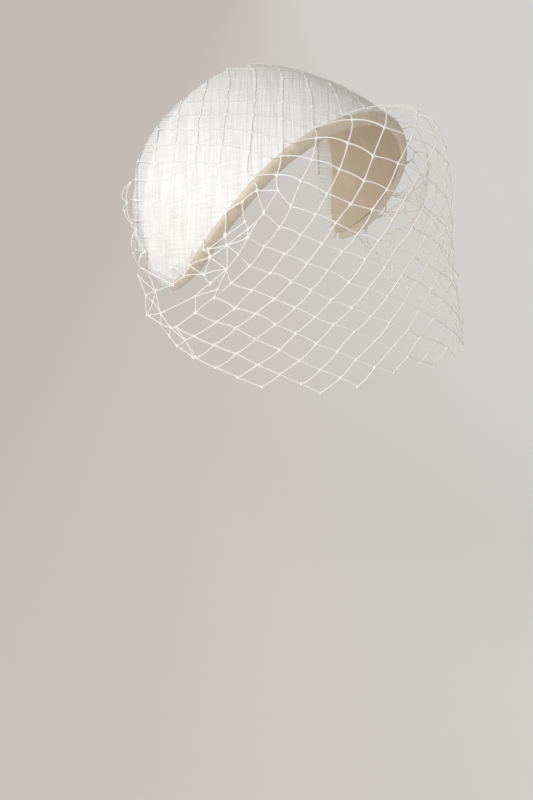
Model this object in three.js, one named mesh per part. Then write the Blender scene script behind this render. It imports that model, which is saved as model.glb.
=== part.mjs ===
// Half hat with a net veil: a crescent shell of covered and lined cloth that grips the head from
// ear to ear, a roll of binding along each long edge, and an open diamond net that is stitched
// along the back edge, lies over the crown and falls free in front of the face.
// Millimetres, +Z up, the face towards -Y. The origin is the seat: the point inside the crown
// that rests on the top of the head.
import * as THREE from "three";

// Driving dimensions
const AXIS_DROP = 111.3; // the head's front-to-back axis lies this far below the seat
const COVER_THICK = 2.2;
const LINING_THICK = 1.4;
const GAP = 0.3; // between pieces that touch
const TIP_ROUND = 24; // length over which a tip rounds off
const TIP_WIDTH = 1; // width that is left at the very end of a tip
const NET_THICK = 1.2;
const NET_STRAND = 2.6; // width of the net's coarse strands
const NET_LIFT = 1.7; // from the crown's outside to the middle of the net
const NET_RISE = 0.86; // how much the net springs up where it leaves the front edge
const NET_WAIST = 0.1; // share by which the fall is drawn in, two thirds of the way down
const WAIST_Y = -40; // y of the upright line that it is drawn towards
const PLEAT = 4; // height of the gathers at the net's ends
const PLEAT_LEANS = [64, 92]; // where the gathers begin and where they are full

// Crown sections from the middle to a tip. Each is a bow that runs from the back edge to the
// front edge. lean: degrees from upright, about the head's axis. reach: from that axis to the
// outside of the crown. crest: y of the bow's highest point. bow: half-length of its curve.
// front, back: y of the two edges.
const CROWN = mirrored([
  { lean: 0, reach: 116.8, crest: 24, bow: 151, front: -63.5, back: 29 },
  { lean: 20, reach: 114.9, crest: 21.5, bow: 147, front: -59.6, back: 30 },
  { lean: 40, reach: 112.2, crest: 19, bow: 142, front: -51.4, back: 30.5 },
  { lean: 60, reach: 106, crest: 16.5, bow: 138, front: -37.6, back: 29.5 },
  { lean: 80, reach: 96, crest: 14, bow: 134, front: -14.8, back: 29 },
  { lean: 97, reach: 88.6, crest: 12, bow: 130, front: 8, back: 28 },
]);
const TIP_LEAN = CROWN[CROWN.length - 1].lean;

// Binding along the two edges, from the middle to a tip. wide, thick: its section. tuck: degrees
// that it turns under the edge. sink: how far its middle lies below the middle of the wall. The
// front one is turned under from tip to tip. The back one is rolled under over the head and lies
// out flat towards the ears.
const FRONT_ROLL = mirrored([
  { lean: 0, wide: 7.4, thick: 4.6, tuck: 50, sink: 1.2 },
  { lean: 60, wide: 7.8, thick: 4.6, tuck: 50, sink: 1.2 },
  { lean: 80, wide: 7.4, thick: 4.6, tuck: 42, sink: 1 },
  { lean: 97, wide: 5, thick: 4.6, tuck: 0, sink: 0 },
]);
const BACK_ROLL = mirrored([
  { lean: 0, wide: 7, thick: 4.6, tuck: 55, sink: 2.9 },
  { lean: 20, wide: 7.5, thick: 4.4, tuck: 40, sink: 2.4 },
  { lean: 40, wide: 12, thick: 3.8, tuck: 8, sink: 0.8 },
  { lean: 60, wide: 14, thick: 3.4, tuck: 4, sink: 0.5 },
  { lean: 80, wide: 12, thick: 3.4, tuck: 2, sink: 0.2 },
  { lean: 97, wide: 6.5, thick: 3.4, tuck: 0, sink: 0 },
]);

// Veil stations from the middle to an end. start: the crown section where the station begins, at
// the back edge. lean: the section where it leaves the crown. back, leave: y at those two places.
// x, y, z: its lower edge, x for the wearer's left. swing: how far it carries on forward as it
// leaves the hat. drop: how far it hangs straight above its lower edge.
const VEIL = mirrored([
  { lean: 0, start: 0, back: 37, leave: -63.5, x: 0, y: -130, z: -165, swing: 215, drop: 300 },
  { lean: 20, start: 19, back: 39, leave: -59.6, x: 41, y: -122, z: -168, swing: 212, drop: 290 },
  { lean: 40, start: 37, back: 44.5, leave: -51.4, x: 78, y: -94, z: -172, swing: 172, drop: 250 },
  { lean: 60, start: 53, back: 46, leave: -37.6, x: 100, y: -53, z: -164, swing: 92, drop: 160 },
  { lean: 80, start: 65, back: 46, leave: -10, x: 105, y: -7, z: -153, swing: 46, drop: 70 },
  { lean: 97, start: 72, back: 45.5, leave: 30, x: 102, y: 25, z: -142, swing: 6, drop: 20 },
]);

// Mesh counts
const CROWN_STEPS = 40;
const BOW_STEPS = 10;
const ROLL_SIDES = 8;
const NET_COLUMNS = 20; // half diamonds round the veil
const NET_ROWS = 10; // half diamonds down it
const LAP_ROWS = 4; // those that lie on the crown

// Adds the rows of the wearer's right side to a table of the middle and the left side.
function mirrored(rows) {
  const right = rows.slice(1).map((row) => {
    const twin = { ...row, lean: -row.lean };
    for (const column of ["x", "start"]) {
      if (column in row) {
        twin[column] = -row[column];
      }
    }
    return twin;
  });
  return [...right.reverse(), ...rows];
}

// Reads a table at one lean, on a smooth curve through its rows.
function readTable(rows, lean) {
  let i = 0;
  while (i < rows.length - 2 && lean > rows[i + 1].lean) {
    i += 1;
  }
  const [a, b] = [rows[i], rows[i + 1]];
  const [before, after] = [rows[i - 1] ?? a, rows[i + 2] ?? b];
  const span = b.lean - a.lean;
  const t = (lean - a.lean) / span;
  const [t2, t3] = [t * t, t * t * t];
  const found = {};
  for (const column of Object.keys(a)) {
    const slope = (p, q) => (q[column] - p[column]) / (q.lean - p.lean);
    found[column] =
      (2 * t3 - 3 * t2 + 1) * a[column] +
      (t3 - 2 * t2 + t) * span * slope(before, b) +
      (3 * t2 - 2 * t3) * b[column] +
      (t3 - t2) * span * slope(a, after);
  }
  return found;
}

// A point of the crown's outside. lean is minus on the wearer's right.
function crownSurface(lean, y) {
  const row = readTable(CROWN, lean);
  const radius = row.reach * Math.sqrt(1 - ((y - row.crest) / row.bow) ** 2);
  const angle = THREE.MathUtils.degToRad(lean);
  return new THREE.Vector3(radius * Math.sin(angle), y, radius * Math.cos(angle) - AXIS_DROP);
}

// The crown's outward direction at a point.
function crownNormal(lean, y) {
  const step = 0.5;
  const across = crownSurface(lean + step, y).sub(crownSurface(lean - step, y));
  const along = crownSurface(lean, y + step).sub(crownSurface(lean, y - step));
  return across.cross(along).normalize();
}

// y of a place on the crown: share 0 is the back edge, 1 the front edge. The tips are rounded.
function crownY(lean, share) {
  const row = readTable(CROWN, lean);
  const fromTip = THREE.MathUtils.degToRad(TIP_LEAN - Math.abs(lean)) * row.reach;
  const inside = Math.min(1, fromTip / TIP_ROUND);
  const round = Math.sqrt(1 - (1 - inside) ** 2);
  const half = Math.max(((row.back - row.front) / 2) * round, TIP_WIDTH / 2);
  return (row.back + row.front) / 2 + half * (1 - 2 * share);
}

// A point of the crown by lean and share, raised by lift along the outward direction.
function crownPoint(lean, share, lift) {
  const y = crownY(lean, share);
  return crownSurface(lean, y).addScaledVector(crownNormal(lean, y), lift);
}

// Leans from tip to tip, closer together towards the rounded tips.
function crownLeans(steps) {
  return Array.from({ length: steps + 1 }, (_, i) => {
    const place = -1 + (2 * i) / steps;
    return TIP_LEAN * (0.8 * Math.sin((Math.PI / 2) * place) + 0.2 * place);
  });
}

// A closed solid from points and triangles.
function solid(points, faces) {
  const geometry = new THREE.BufferGeometry().setFromPoints(points);
  geometry.setIndex(faces);
  geometry.computeVertexNormals();
  return geometry;
}

// A shell that follows the crown between two depths below its outside.
function crownShell(topDepth, bottomDepth) {
  const leans = crownLeans(CROWN_STEPS);
  const [rows, columns] = [leans.length, BOW_STEPS + 1];
  const points = [];
  for (const depth of [topDepth, bottomDepth]) {
    for (const lean of leans) {
      for (let j = 0; j < columns; j += 1) {
        points.push(crownPoint(lean, j / BOW_STEPS, -depth));
      }
    }
  }
  const at = (side, i, j) => (side * rows + i) * columns + j;
  const faces = [];
  const quad = (a, b, c, d) => faces.push(a, c, b, a, d, c);
  const last = columns - 1;
  for (let i = 0; i < rows - 1; i += 1) {
    for (let j = 0; j < last; j += 1) {
      quad(at(0, i, j), at(0, i + 1, j), at(0, i + 1, j + 1), at(0, i, j + 1));
      quad(at(1, i, j), at(1, i, j + 1), at(1, i + 1, j + 1), at(1, i + 1, j));
    }
    quad(at(0, i, 0), at(1, i, 0), at(1, i + 1, 0), at(0, i + 1, 0));
    quad(at(0, i, last), at(0, i + 1, last), at(1, i + 1, last), at(1, i, last));
  }
  for (let j = 0; j < last; j += 1) {
    quad(at(0, 0, j), at(0, 0, j + 1), at(1, 0, j + 1), at(1, 0, j));
    quad(at(0, rows - 1, j), at(1, rows - 1, j), at(1, rows - 1, j + 1), at(0, rows - 1, j + 1));
  }
  return solid(points, faces);
}

// The binding along an edge of the crown: share 0 is the back edge, 1 the front edge.
function edgeRoll(share, sizes) {
  const leans = crownLeans(CROWN_STEPS + 6);
  const depth = (COVER_THICK + GAP + LINING_THICK) / 2;
  const edge = leans.map((lean) => crownPoint(lean, share, -depth));
  const points = [];
  leans.forEach((lean, i) => {
    const ahead = edge[Math.min(i + 1, edge.length - 1)].clone();
    const tangent = ahead.sub(edge[Math.max(i - 1, 0)]).normalize();
    const outward = crownNormal(lean, crownY(lean, share));
    const aside = new THREE.Vector3().crossVectors(outward, tangent).normalize();
    if (share === 1) {
      aside.negate();
    }
    const { wide, thick, tuck, sink } = readTable(sizes, lean);
    const turn = THREE.MathUtils.degToRad(tuck);
    const [level, under] = [Math.cos(turn), Math.sin(turn)];
    const flat = aside.clone().multiplyScalar(level).addScaledVector(outward, -under);
    const raised = outward.clone().multiplyScalar(level).addScaledVector(aside, under);
    const centre = edge[i].clone()
      .addScaledVector(aside, Math.hypot(wide * level, thick * under) / 2 + GAP)
      .addScaledVector(outward, -sink);
    for (let k = 0; k < ROLL_SIDES; k += 1) {
      const angle = (2 * Math.PI * k) / ROLL_SIDES;
      points.push(centre.clone()
        .addScaledVector(flat, (wide / 2) * Math.cos(angle))
        .addScaledVector(raised, (thick / 2) * Math.sin(angle)));
    }
  });
  const faces = [];
  const face = (a, b, c) => (share === 1 ? faces.push(a, c, b) : faces.push(a, b, c));
  for (let i = 0; i < leans.length - 1; i += 1) {
    for (let k = 0; k < ROLL_SIDES; k += 1) {
      const next = (k + 1) % ROLL_SIDES;
      const [a, b] = [i * ROLL_SIDES + k, i * ROLL_SIDES + next];
      face(a, b, b + ROLL_SIDES);
      face(a, b + ROLL_SIDES, a + ROLL_SIDES);
    }
  }
  const end = (leans.length - 1) * ROLL_SIDES;
  for (let k = 1; k < ROLL_SIDES - 1; k += 1) {
    face(0, k + 1, k);
    face(end, end + k, end + k + 1);
  }
  return solid(points, faces);
}

// The middle of the net at a lean and a row. Rows up to LAP_ROWS lie on the crown from its back
// edge to its front edge, and the rest fall from the front edge to the veil's lower edge.
function veilSurface(lean, row) {
  const station = readTable(VEIL, lean);
  const onCrown = (at, y) =>
    crownSurface(at, y).addScaledVector(crownNormal(at, y), NET_LIFT);
  if (row <= LAP_ROWS) {
    const share = row / LAP_ROWS;
    const at = THREE.MathUtils.lerp(station.start, lean, share);
    return onCrown(at, THREE.MathUtils.lerp(station.back, station.leave, share));
  }
  const t = (row - LAP_ROWS) / (NET_ROWS - LAP_ROWS);
  const [t2, t3] = [t * t, t * t * t];
  const start = onCrown(lean, station.leave);
  const ahead = onCrown(lean, station.leave - 0.5).sub(onCrown(lean, station.leave + 0.5)).normalize();
  const front = Math.max(0, 1 - (lean / 70) ** 2);
  ahead.z += NET_RISE * front;
  const fall = new THREE.Vector3()
    .addScaledVector(start, 2 * t3 - 3 * t2 + 1)
    .addScaledVector(ahead, (t3 - 2 * t2 + t) * station.swing)
    .addScaledVector(new THREE.Vector3(station.x, station.y, station.z), 3 * t2 - 2 * t3)
    .addScaledVector(new THREE.Vector3(0, 0, -1), (t3 - t2) * station.drop);
  const drawn = NET_WAIST * front * (729 / 16) * t2 * t2 * (1 - t) ** 2;
  return fall.lerp(new THREE.Vector3(0, WAIST_Y, fall.z), drawn);
}

function veilNormal(lean, row) {
  const step = 0.05;
  const across = veilSurface(lean + step * 8, row).sub(veilSurface(lean - step * 8, row));
  const down = veilSurface(lean, row + step).sub(veilSurface(lean, row - step));
  return down.cross(across).normalize();
}

// A point of the net with its gathers: towards the ends every other row stands out.
function veilPoint(lean, row, side) {
  const gather = THREE.MathUtils.smoothstep(Math.abs(lean), ...PLEAT_LEANS);
  const lift = PLEAT * gather * Math.sin((Math.PI * row) / 2) ** 2 + side * (NET_THICK / 2);
  return veilSurface(lean, row).addScaledVector(veilNormal(lean, row), lift);
}

// The net: one ring of strand round each diamond, half diamonds along the edges.
function netGeometry() {
  const points = [];
  const faces = [];
  const placed = new Map();
  const leanAt = (column) => TIP_LEAN * (-1 + (2 * column) / NET_COLUMNS);
  const place = ([column, row]) => {
    const key = `${column.toFixed(4)} ${row.toFixed(4)}`;
    if (!placed.has(key)) {
      placed.set(key, points.length);
      points.push(veilPoint(leanAt(column), row, 1), veilPoint(leanAt(column), row, -1));
    }
    return placed.get(key);
  };
  const quad = (a, b, c, d) => faces.push(a, b, c, a, c, d);
  const isEdge = ([c1, r1], [c2, r2]) =>
    (c1 === c2 && (c1 === 0 || c1 === NET_COLUMNS)) || (r1 === r2 && (r1 === 0 || r1 === NET_ROWS));
  for (let column = 0; column <= NET_COLUMNS; column += 1) {
    for (let row = (column + 1) % 2; row <= NET_ROWS; row += 2) {
      const corners = [[column - 1, row], [column, row + 1], [column + 1, row], [column, row - 1]]
        .filter(([c, r]) => c >= 0 && c <= NET_COLUMNS && r >= 0 && r <= NET_ROWS);
      const outline = corners.flatMap((corner, k) => {
        const next = corners[(k + 1) % corners.length];
        return [corner, [(corner[0] + next[0]) / 2, (corner[1] + next[1]) / 2]];
      });
      const mean = [0, 1].map((n) => corners.reduce((sum, c) => sum + c[n], 0) / corners.length);
      const spot = (p) => veilPoint(leanAt(p[0]), p[1], 0);
      const centre = spot(mean);
      const inner = outline.map((p, k) => {
        const [before, after] = [outline.at(k - 1), outline[(k + 1) % outline.length]];
        const along = spot(after).sub(spot(before)).normalize();
        const reach = centre.clone().sub(spot(p));
        const clear = reach.addScaledVector(along, -reach.dot(along)).length();
        const share = Math.min(0.45, NET_STRAND / 2 / Math.max(clear, 1));
        return [p[0] + (mean[0] - p[0]) * share, p[1] + (mean[1] - p[1]) * share];
      });
      const outerAt = outline.map(place);
      const innerAt = inner.map(place);
      outline.forEach((p, k) => {
        const next = (k + 1) % outline.length;
        const [a, b, c, d] = [outerAt[k], outerAt[next], innerAt[next], innerAt[k]];
        quad(a, b, c, d);
        quad(a + 1, d + 1, c + 1, b + 1);
        quad(d, c, c + 1, d + 1);
        if (isEdge(p, outline[next])) {
          quad(b, a, a + 1, b + 1);
        }
      });
    }
  }
  return solid(points, faces);
}

const hat = new THREE.Group();

function addPiece(name, geometry, colour, roughness) {
  const finish = new THREE.MeshStandardMaterial({ color: colour, roughness, metalness: 0 });
  const piece = new THREE.Mesh(geometry, finish);
  piece.name = name;
  hat.add(piece);
}

const LINING_DEPTH = COVER_THICK + GAP;
addPiece("cover", crownShell(0, COVER_THICK), "#f2f0ea", 0.6);
addPiece("lining", crownShell(LINING_DEPTH, LINING_DEPTH + LINING_THICK), "#d8c3a4", 0.5);
addPiece("front_binding", edgeRoll(1, FRONT_ROLL), "#e0cdb0", 0.5);
addPiece("back_binding", edgeRoll(0, BACK_ROLL), "#f0eee8", 0.6);
addPiece("veil_net", netGeometry(), "#f4f1ea", 0.7);

export default hat;
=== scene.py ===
"""Half hat with a net veil: the visual model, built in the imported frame.

The crown is a crescent of slubbed silk, lined in cream and bound with a roll along each long edge.
A knotted net is held along its back edge, lies over it and falls free in front.
Tables are in millimetres and degrees. Meshes are in metres.
"""

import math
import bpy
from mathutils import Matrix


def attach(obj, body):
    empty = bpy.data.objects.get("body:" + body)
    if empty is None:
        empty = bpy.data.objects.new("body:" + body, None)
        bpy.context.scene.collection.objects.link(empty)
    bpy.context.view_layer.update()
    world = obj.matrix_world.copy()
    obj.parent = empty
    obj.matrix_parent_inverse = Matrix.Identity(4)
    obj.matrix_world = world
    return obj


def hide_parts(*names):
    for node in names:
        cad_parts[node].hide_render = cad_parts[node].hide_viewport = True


bl_info = {
    "name": "Half Hat with Net Veil",
    "version": (1, 0, 0),
    "blender": (4, 5, 0),
    "location": "View3D > Sidebar > Half Hat",
    "description": "Makes a silk half hat with a knotted net veil",
    "category": "Object",
}

import bpy
import numpy as np
from numpy.polynomial.chebyshev import chebder, chebval, chebval2d, chebvander

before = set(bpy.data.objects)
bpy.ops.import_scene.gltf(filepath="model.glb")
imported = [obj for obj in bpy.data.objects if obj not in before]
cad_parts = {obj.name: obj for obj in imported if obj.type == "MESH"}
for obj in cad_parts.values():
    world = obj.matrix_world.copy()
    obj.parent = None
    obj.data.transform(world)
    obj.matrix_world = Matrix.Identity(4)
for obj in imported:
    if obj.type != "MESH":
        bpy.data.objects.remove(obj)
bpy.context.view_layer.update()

MM = 0.001

# Crown and veil, as in the part's solids

# How far the crown's axis lies below the seat, and the crown's mean distance from that axis
AXIS_DROP, MEAN_REACH = 111.3, 105.0
# Gap between neighbouring pieces
GAP = 0.3
# The lean where a tip ends, the length that it is rounded over and its least width
TIP_LEAN, TIP_ROUND, TIP_WIDTH = 97.0, 24.0, 1.0
# How much closer together a cloth's faces lie towards the tips: 0 is evenly spread
TIP_CROWDING = 0.8
# How a roll's section fills out between an ellipse and a box, and how far it laps over the edge
ROLL_FULLNESS, ROLL_LAP = 0.8, 1.3
# Rows of the net on the crown, and in all
LAP_ROWS, NET_ROWS = 4, 10
# Height of the net's middle over the silk
NET_LIFT = 1.7
# How steeply the net rises as it leaves the front edge, out to the lean where that ends
NET_RISE, FRONT_LEAN = 0.86, 70.0
# How far the net is drawn in below the front edge, towards which y, and what brings that to 1 at its most
NET_WAIST, WAIST_Y, WAIST_PEAK = 0.1, -40.0, 729 / 16
# Height of the pleats of the net's ends, and the leans between which they begin
PLEAT, PLEAT_LEANS = 4.0, (64.0, 92.0)


def mirrored(columns, rows, odd=()):
    """A table of named columns, with the wearer's right side added to its middle and left side."""
    left = np.array(rows, float)
    right = left[:0:-1].copy()
    for name in ("lean",) + odd:
        right[:, columns.index(name)] *= -1
    return columns, np.concatenate([right, left])


CROWN = mirrored(
    ("lean", "reach", "crest", "bow", "front", "back"),
    (
        (0, 116.8, 24, 151, -63.5, 29),
        (20, 114.9, 21.5, 147, -59.6, 30),
        (40, 112.2, 19, 142, -51.4, 30.5),
        (60, 106, 16.5, 138, -37.6, 29.5),
        (80, 96, 14, 134, -14.8, 29),
        (97, 88.6, 12, 130, 8, 28),
    ),
)
# Binding along the edges: its section, the degrees that it turns under the edge and how far its
# middle lies below the middle of the wall
FRONT_ROLL = mirrored(
    ("lean", "wide", "thick", "tuck", "sink"),
    ((0, 7.4, 4.6, 50, 1.2), (60, 7.8, 4.6, 50, 1.2), (80, 7.4, 4.6, 42, 1), (97, 5, 4.6, 0, 0)),
)
BACK_ROLL = mirrored(
    ("lean", "wide", "thick", "tuck", "sink"),
    (
        (0, 7, 4.6, 55, 2.9),
        (20, 7.5, 4.4, 40, 2.4),
        (40, 12, 3.8, 8, 0.8),
        (60, 14, 3.4, 4, 0.5),
        (80, 12, 3.4, 2, 0.2),
        (97, 6.5, 3.4, 0, 0),
    ),
)
VEIL = mirrored(
    ("lean", "start", "back", "leave", "x", "y", "z", "swing", "drop"),
    (
        (0, 0, 37, -63.5, 0, -130, -165, 215, 300),
        (20, 19, 39, -59.6, 41, -122, -168, 212, 290),
        (40, 37, 44.5, -51.4, 78, -94, -172, 172, 250),
        (60, 53, 46, -37.6, 100, -53, -164, 92, 160),
        (80, 65, 46, -10, 105, -7, -153, 46, 70),
        (97, 72, 45.5, 30, 102, 25, -142, 6, 20),
    ),
    ("start", "x"),
)


def smooth_step(low, high, value):
    """0 below low, 1 above high and a smooth rise between."""
    t = np.clip((value - low) / (high - low), 0, 1)
    return t * t * (3 - 2 * t)


def blend(pair, share):
    """A value between the two of a pair."""
    return pair[0] + (pair[1] - pair[0]) * share


def bend(t, start, start_slope, end, end_slope):
    """A smooth curve from start to end, with its slopes there, at shares t of the way."""
    return (
        (2 * t**3 - 3 * t**2 + 1) * start
        + (t**3 - 2 * t**2 + t) * start_slope
        + (3 * t**2 - 2 * t**3) * end
        + (t**3 - t**2) * end_slope
    )


def unit(vectors):
    """Vectors at length one."""
    return vectors / np.linalg.norm(vectors, axis=-1, keepdims=True)


def dot(a, b):
    """Dot products along the last axis."""
    return np.sum(a * b, axis=-1)


def read_table(table, lean):
    """A table's columns at some leans, on smooth curves through its rows."""
    columns, rows = table
    lean = np.asarray(lean, float)
    last = len(rows) - 1
    i = np.clip(np.searchsorted(rows[:, 0], lean, side="left") - 1, 0, last - 1)
    a, b = rows[i], rows[i + 1]
    before, after = rows[np.maximum(i - 1, 0)], rows[np.minimum(i + 2, last)]
    span = b[..., :1] - a[..., :1]
    t = (lean[..., None] - a[..., :1]) / span
    slope_a = (b - before) / (b[..., :1] - before[..., :1])
    slope_b = (after - a) / (after[..., :1] - a[..., :1])
    found = bend(t, a, span * slope_a, b, span * slope_b)
    return dict(zip(columns, np.moveaxis(found, -1, 0)))


def crown_surface(lean, y):
    """Points of the crown's outside."""
    row = read_table(CROWN, lean)
    radius = row["reach"] * np.sqrt(np.maximum(1 - ((y - row["crest"]) / row["bow"]) ** 2, 1e-6))
    angle = np.radians(lean)
    return np.stack([radius * np.sin(angle), y + 0 * radius, radius * np.cos(angle) - AXIS_DROP], -1)


def crown_normal(lean, y):
    """The crown's outward directions."""
    across = crown_surface(lean + 0.5, y) - crown_surface(lean - 0.5, y)
    along = crown_surface(lean, y + 0.5) - crown_surface(lean, y - 0.5)
    return unit(np.cross(across, along))


def crown_y(lean, share):
    """y on the crown: share 0 is the back edge, 1 the front edge, and the tips are rounded."""
    row = read_table(CROWN, lean)
    from_tip = np.radians(TIP_LEAN - np.abs(lean)) * row["reach"]
    inside = np.minimum(1, from_tip / TIP_ROUND)
    half = (row["back"] - row["front"]) / 2 * np.sqrt(1 - (1 - inside) ** 2)
    return (row["back"] + row["front"]) / 2 + np.maximum(half, TIP_WIDTH / 2) * (1 - 2 * share)


def crown_leans(place):
    """Leans from tip to tip for places from -1 to 1, closer together towards the tips."""
    return TIP_LEAN * (TIP_CROWDING * np.sin(np.pi / 2 * place) + (1 - TIP_CROWDING) * place)


def roll_section(table, lean):
    """A roll's half width and half thickness, its turn and where its middle lies from the edge."""
    row = read_table(table, lean)
    turn = np.radians(row["tuck"])
    half_wide, half_thick = row["wide"] / 2, row["thick"] / 2
    aside = np.hypot(half_wide * np.cos(turn), half_thick * np.sin(turn)) + GAP
    return half_wide, half_thick, turn, aside, row["sink"]


def roll_axes(aside, outward, turn):
    """Directions across and out of a roll whose section is turned under the edge."""
    cos, sin = np.cos(turn)[:, None], np.sin(turn)[:, None]
    return aside * cos - outward * sin, outward * cos + aside * sin


def on_crown(lean, y):
    """Points where the middle of the net lies on the crown."""
    return crown_surface(lean, y) + crown_normal(lean, y) * NET_LIFT


def lap_place(lean, row):
    """The crown's lean and y under a place of the net."""
    station = read_table(VEIL, lean)
    share = row / LAP_ROWS
    return (
        station["start"] + (lean - station["start"]) * share,
        station["back"] + (station["leave"] - station["back"]) * share,
    )


def veil_surface(lean, row):
    """The middle of the net: on the crown up to LAP_ROWS, then falling to its lower edge."""
    lean, row = np.broadcast_arrays(np.asarray(lean, float), np.asarray(row, float))
    station = read_table(VEIL, lean)
    lap = on_crown(*lap_place(lean, np.minimum(row, LAP_ROWS)))
    t = np.maximum((row - LAP_ROWS) / (NET_ROWS - LAP_ROWS), 0)[..., None]
    leave = station["leave"]
    ahead = unit(on_crown(lean, leave - 0.5) - on_crown(lean, leave + 0.5))
    front = np.maximum(0, 1 - (lean / FRONT_LEAN) ** 2)
    ahead[..., 2] += NET_RISE * front
    end = np.stack([station["x"], station["y"], station["z"]], -1)
    down = np.array([0, 0, -1.0]) * station["drop"][..., None]
    fall = bend(t, on_crown(lean, leave), ahead * station["swing"][..., None], end, down)
    drawn = NET_WAIST * front[..., None] * WAIST_PEAK * t**4 * (1 - t) ** 2
    waist = np.stack([0 * lean, 0 * lean + WAIST_Y, fall[..., 2]], -1)
    return np.where((row <= LAP_ROWS)[..., None], lap, fall + (waist - fall) * drawn)


def veil_normal(lean, row):
    """The net's outward directions."""
    across = veil_surface(lean + 0.4, row) - veil_surface(lean - 0.4, row)
    down = veil_surface(lean, row + 0.05) - veil_surface(lean, row - 0.05)
    return unit(np.cross(down, across))


# Plain waves in one soft unevenness, and the least and most of their lengths beside its own
RIPPLES, RIPPLE_LENGTHS = 9, (0.7, 1.5)


def ripple(points, wave, seed):
    """A soft unevenness of about -1 to 1 with that wavelength."""
    dice = np.random.default_rng(seed)
    total = np.zeros(len(points))
    for _ in range(RIPPLES):
        heading = unit(dice.normal(size=3)) * 2 * np.pi / (wave * dice.uniform(*RIPPLE_LENGTHS))
        total += np.sin(points @ heading + dice.uniform(0, 2 * np.pi))
    return total / (RIPPLES / 2)


def waves_on(points, waves):
    """Soft waves of some heights, wavelengths and seeds."""
    return sum(height * ripple(points, wave, seed) for height, wave, seed in waves)


# Height, wavelength and seed of the silk's two waves
SILK_WAVES = ((0.34, 46, 11), (0.14, 17, 12))
# Distance from an edge over which the waves begin
CALM_EDGE = 10
# Height, pitch and reach of the tucks along the silk's edges
TUCK_HEIGHT, TUCK_PITCH, TUCK_REACH = 0.16, 9.5, 6
# How the tucks wander: radians, wavelength and seed
TUCK_WANDER = (1.4, 30, 5)


def cover_relief(lean, y):
    """How far the silk stands off the crown's even surface: soft waves, and tucks along its edges."""
    lean = np.clip(lean, -TIP_LEAN, TIP_LEAN)
    points = crown_surface(lean, y)
    from_edge = np.maximum(np.minimum(crown_y(lean, 0) - y, y - crown_y(lean, 1)), 0)
    waves = waves_on(points, SILK_WAVES)
    turns = 2 * np.pi * np.radians(lean) * MEAN_REACH / TUCK_PITCH
    tucks = np.sin(turns + waves_on(points, [TUCK_WANDER])) * np.exp(-from_edge / TUCK_REACH)
    return waves * smooth_step(0, CALM_EDGE, from_edge) + TUCK_HEIGHT * tucks


# Sizes and colours


def length_property(name, description, default, least):
    """A length in metres that a user can change."""
    return bpy.props.FloatProperty(
        name=name, description=description, default=default, min=least, unit="LENGTH"
    )


class HatSizes(bpy.types.PropertyGroup):
    """Sizes of the cloth, the edge rolls and the net."""

    cover_thickness: length_property("Cover", "Thickness of the silk cover", 0.0022, 0.0005)
    lining_thickness: length_property("Lining", "Thickness of the lining", 0.0014, 0.0005)
    front_roll_width: length_property("Front roll", "Widest place of the front edge's roll", 0.0078, 0.001)
    back_roll_width: length_property("Back roll", "Widest place of the back edge's binding", 0.014, 0.001)
    net_cell: length_property("Net cell", "Side of one cell of the net", 0.0144, 0.008)
    net_thread: length_property("Net thread", "Thickness of the net's thread", 0.00078, 0.0002)
    net_knot: length_property("Net knot", "Width of a knot of the net", 0.0023, 0.0005)
    weave_pitch: length_property("Weave", "Distance between threads of the silk", 0.0006, 0.0001)


def colour_property(name, description, default):
    """A colour that a user can change."""
    return bpy.props.FloatVectorProperty(
        name=name, description=description, default=default, subtype="COLOR", size=3, min=0, max=1
    )


class HatColours(bpy.types.PropertyGroup):
    """Colours of the cloths, the net and the floor."""

    silk: colour_property("Silk", "Colour of the slubbed silk", (0.9, 0.895, 0.885))
    lining: colour_property("Lining", "Colour of the lining", (0.72, 0.6, 0.45))
    # Partly the roll's own cream, partly painted shade and warm bounce light: darker and warmer than the
    # silk, for the shade under the front edge
    binding: colour_property("Binding", "Colour of the front roll", (0.74, 0.64, 0.515))
    net: colour_property("Net", "Colour of the net's thread", (0.95, 0.94, 0.91))
    floor: colour_property("Floor", "Colour of the floor", (0.83, 0.76, 0.7))
    # Painted light: the colour that the floor turns to on the camera's right, as if lit more there
    floor_painted_light: colour_property("Floor, light side", "Colour of the floor's light side", (1.0, 1.0, 1.0))


# Shader node helpers and shared groups


def add_node(tree, kind, **values):
    """A shader node with its settings and its input values."""
    made = tree.nodes.new("ShaderNode" + kind)
    for name, value in values.items():
        if hasattr(made, name):
            setattr(made, name, value)
        else:
            made.inputs[name.replace("_", " ")].default_value = value
    return made


def math_node(tree, operation, *values):
    """A Math node on sockets or plain numbers, and its output."""
    made = add_node(tree, "Math", operation=operation)
    for socket, value in zip(made.inputs, values):
        if isinstance(value, bpy.types.NodeSocket):
            tree.links.new(value, socket)
        else:
            socket.default_value = value
    return made.outputs[0]


def new_group(name, inputs, outputs):
    """An empty shader node group with named sockets, and its two end nodes."""
    group = bpy.data.node_groups.new(name, "ShaderNodeTree")
    for label, kind, value in inputs:
        socket = group.interface.new_socket(name=label, in_out="INPUT", socket_type="NodeSocket" + kind)
        if value is not None:
            socket.default_value = value
    for label, kind in outputs:
        group.interface.new_socket(name=label, in_out="OUTPUT", socket_type="NodeSocket" + kind)
    return group, group.nodes.new("NodeGroupInput"), group.nodes.new("NodeGroupOutput")


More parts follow.
